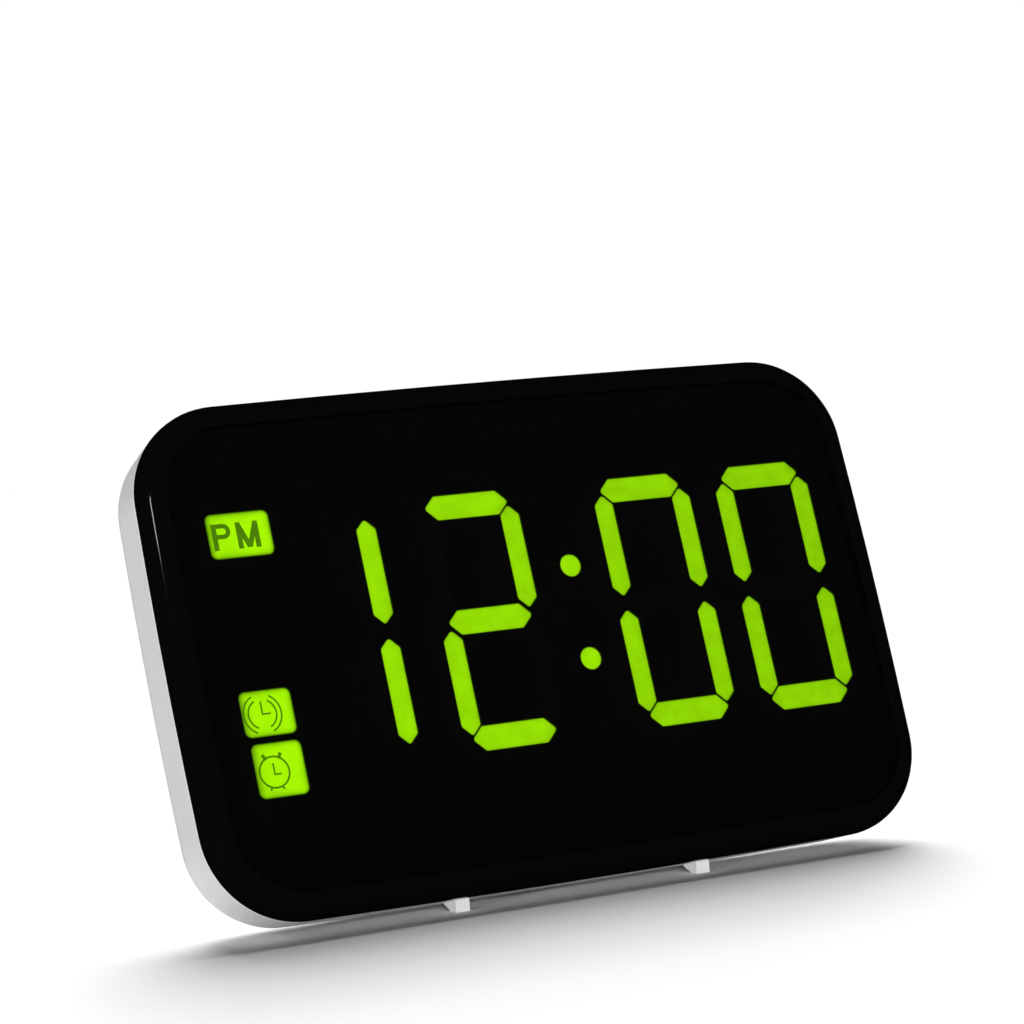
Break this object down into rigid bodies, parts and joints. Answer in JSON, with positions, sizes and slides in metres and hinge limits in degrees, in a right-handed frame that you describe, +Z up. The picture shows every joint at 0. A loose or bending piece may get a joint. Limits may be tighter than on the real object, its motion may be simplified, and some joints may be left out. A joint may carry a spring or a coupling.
{
  "type": "alarm clock",
  "caption": "Desk alarm clock with a leaning black display face, large lit digits, white shell, snooze bar, rear buttons and battery door.",
  "frame": {"origin": "on the table, at the middle of the clock's footprint", "axes": "+X to the right as seen from the front, +Y towards the back, +Z up; the face looks towards -Y and leans back 16 degrees"},
  "size_m": [0.1268, 0.0444, 0.0811],
  "materials": {
    "black_lens": "gloss",
    "black_bezel": "gloss",
    "black_film": "matte",
    "black_frame": "matte",
    "reflector_white": "matte",
    "lit_green": "lit",
    "lit_window": "lit",
    "unlit_insert": "satin",
    "white_shell": "satin",
    "cell_wrap": "gloss",
    "nickel": "bright",
    "board_green": "gloss",
    "led_chip": "gloss",
    "chip_black": "matte",
    "capacitor_can": "satin",
    "rubber_black": "matte",
    "switch_grey": "matte",
    "button_grey": "satin",
    "screw_steel": "satin",
    "lead_red": "satin",
    "lead_black": "satin"
  },
  "bodies": {
    "clock_body": {"front_lens": "black_lens", "front_bezel": "black_bezel", "mask_film": "black_film", "display_frame": "black_frame", "reflector": "reflector_white", "lit_segments": "lit_green", "colon_dots": "lit_green", "pm_window": "lit_window", "ringing_window": "lit_window", "alarm_on_window": "lit_window", "unlit_segments": "unlit_insert", "rear_shell": "white_shell", "aaa_cell_1": "cell_wrap", "aaa_cell_2": "cell_wrap", "aaa_cell_3": "cell_wrap", "contact_plates": "nickel", "battery_springs": "nickel", "main_board": "board_green", "led_chips": "led_chip", "controller_chip": "chip_black", "crystal": "nickel", "capacitors": "capacitor_can", "buzzer": "chip_black", "microphone": "nickel", "microphone_sleeve": "rubber_black", "usb_inlet": "nickel", "usb_tongue": "chip_black", "push_switches": "switch_grey", "snooze_switch": "switch_grey", "slide_switch_case": "nickel", "case_screws": "screw_steel", "board_screws": "screw_steel", "red_lead": "lead_red", "black_lead": "lead_black"},
    "snooze_bar": {"snooze_bar": "white_shell", "snooze_plunger": "chip_black"},
    "sound_switch": {"sound_switch_knob": "button_grey", "slide_lever": "chip_black"},
    "battery_door": {"battery_door": "white_shell"},
    "mode_button": {"mode_button": "button_grey", "mode_plunger": "chip_black"},
    "set_button": {"set_button": "button_grey", "set_plunger": "chip_black"},
    "up_button": {"up_button": "button_grey", "up_plunger": "chip_black"},
    "down_button": {"down_button": "button_grey", "down_plunger": "chip_black"}
  },
  "joints": [
    {"name": "snooze_press", "type": "slide", "parent": "clock_body", "child": "snooze_bar", "axis": [0, -0.2756, -0.9613], "range_m": [0, 0.0008], "stiffness_N_per_m": 1200, "springref_m": -0.0002},
    {"name": "mode_press", "type": "slide", "parent": "clock_body", "child": "mode_button", "axis": [0, -0.9613, 0.2756], "range_m": [0, 0.0007], "stiffness_N_per_m": 1500, "springref_m": -0.0002},
    {"name": "set_press", "type": "slide", "parent": "clock_body", "child": "set_button", "axis": [0, -0.9613, 0.2756], "range_m": [0, 0.0007], "stiffness_N_per_m": 1500, "springref_m": -0.0002},
    {"name": "up_press", "type": "slide", "parent": "clock_body", "child": "up_button", "axis": [0, -0.9613, 0.2756], "range_m": [0, 0.0007], "stiffness_N_per_m": 1500, "springref_m": -0.0002},
    {"name": "down_press", "type": "slide", "parent": "clock_body", "child": "down_button", "axis": [0, -0.9613, 0.2756], "range_m": [0, 0.0007], "stiffness_N_per_m": 1500, "springref_m": -0.0002},
    {"name": "sound_slide", "type": "slide", "parent": "clock_body", "child": "sound_switch", "axis": [0, 0.2756, 0.9613], "range_m": [0, 0.002]},
    {"name": "door_pivot", "type": "hinge", "parent": "clock_body", "child": "battery_door", "pos_m": [0, 0.01192, 0.00339], "axis": [-1, 0, 0], "range_deg": [0, 70]}
  ]
}
